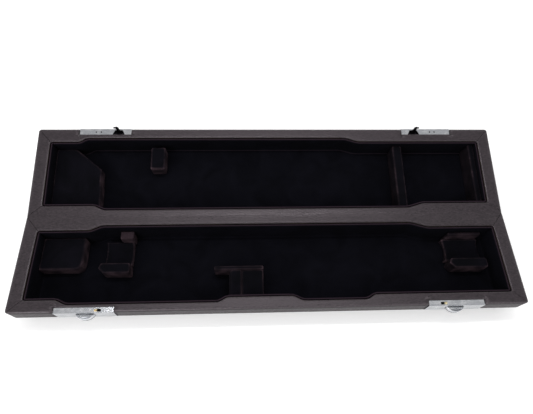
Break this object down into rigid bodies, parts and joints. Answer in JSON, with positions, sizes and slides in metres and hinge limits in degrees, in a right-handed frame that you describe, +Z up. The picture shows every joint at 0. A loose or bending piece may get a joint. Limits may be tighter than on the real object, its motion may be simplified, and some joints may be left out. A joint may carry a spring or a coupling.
{
  "type": "flute case",
  "caption": "Slim hard case for a dismantled flute: two rounded trays hinged along a long side, plush-lined rests and dividers inside, sliding latches with hooks at the front.",
  "frame": {"origin": "centre of the base's flat bottom face", "axes": "+X along the case's length, towards the latch on the right as seen from the front; +Y from the base's front edge towards the hinge and the open lid; +Z up"},
  "size_m": [0.42, 0.1726, 0.0488],
  "materials": {
    "wood_frame": "plain sawn",
    "leatherette": "fine pebble grain, satin",
    "plush": "short-pile plush",
    "nickel": "nickel plate, softly polished",
    "brass_bolt": "plain stamped",
    "dark_steel": "blued"
  },
  "bodies": {
    "base": {"base_front_rail": "wood_frame", "base_rear_rail": "wood_frame", "base_left_end": "wood_frame", "base_right_end": "wood_frame", "base_bottom_panel": "wood_frame", "base_cover_front": "leatherette", "base_cover_spine": "leatherette", "base_cover_left": "leatherette", "base_cover_right": "leatherette", "base_cover_bottom": "leatherette", "base_rim_front": "leatherette", "base_rim_left": "leatherette", "base_rim_right": "leatherette", "base_hinge_strip": "leatherette", "base_wall_lining": "plush", "base_floor_lining": "plush", "left_platform": "plush", "rest_rear_left": "plush", "rest_front_left": "plush", "saddle_left": "plush", "rest_rear_right": "plush", "rest_front_right": "plush", "saddle_right": "plush", "divider_bar": "plush", "divider_post_left": "plush", "divider_post_right": "plush", "latch_housing_left": "nickel", "latch_housing_right": "nickel", "latch_rivets": "dark_steel"},
    "lid": {"lid_front_rail": "wood_frame", "lid_rear_rail": "wood_frame", "lid_left_end": "wood_frame", "lid_right_end": "wood_frame", "lid_top_panel": "wood_frame", "lid_cover_front": "leatherette", "lid_cover_spine": "leatherette", "lid_cover_left": "leatherette", "lid_cover_right": "leatherette", "lid_cover_top": "leatherette", "lid_rim_front": "leatherette", "lid_rim_left": "leatherette", "lid_rim_right": "leatherette", "lid_hinge_strip": "leatherette", "lid_wall_lining": "plush", "lid_floor_lining": "plush", "lid_corner_block": "plush", "pressure_pad": "plush", "cross_bar": "plush", "lid_end_pad": "plush", "catch_housing_left": "nickel", "catch_housing_right": "nickel", "hook_left": "dark_steel", "hook_right": "dark_steel", "catch_rivets": "dark_steel"},
    "slider_left": {"thumb_slider_left": "nickel", "latch_bolt_left": "brass_bolt", "bolt_spring_left": "dark_steel"},
    "slider_right": {"thumb_slider_right": "nickel", "latch_bolt_right": "brass_bolt", "bolt_spring_right": "dark_steel"}
  },
  "joints": [
    {"name": "lid_hinge", "type": "hinge", "parent": "base", "child": "lid", "pos_m": [0, 0.0415, 0.0274], "axis": [1, 0, 0], "range_deg": [0, 169.9]},
    {"name": "latch_slide_left", "type": "slide", "parent": "base", "child": "slider_left", "axis": [-1, 0, 0], "range_m": [0, 0.004], "stiffness_N_per_m": 400, "springref_m": -0.002, "deforming": ["bolt_spring_left"]},
    {"name": "latch_slide_right", "type": "slide", "parent": "base", "child": "slider_right", "axis": [1, 0, 0], "range_m": [0, 0.004], "stiffness_N_per_m": 400, "springref_m": -0.002, "deforming": ["bolt_spring_right"]}
  ]
}
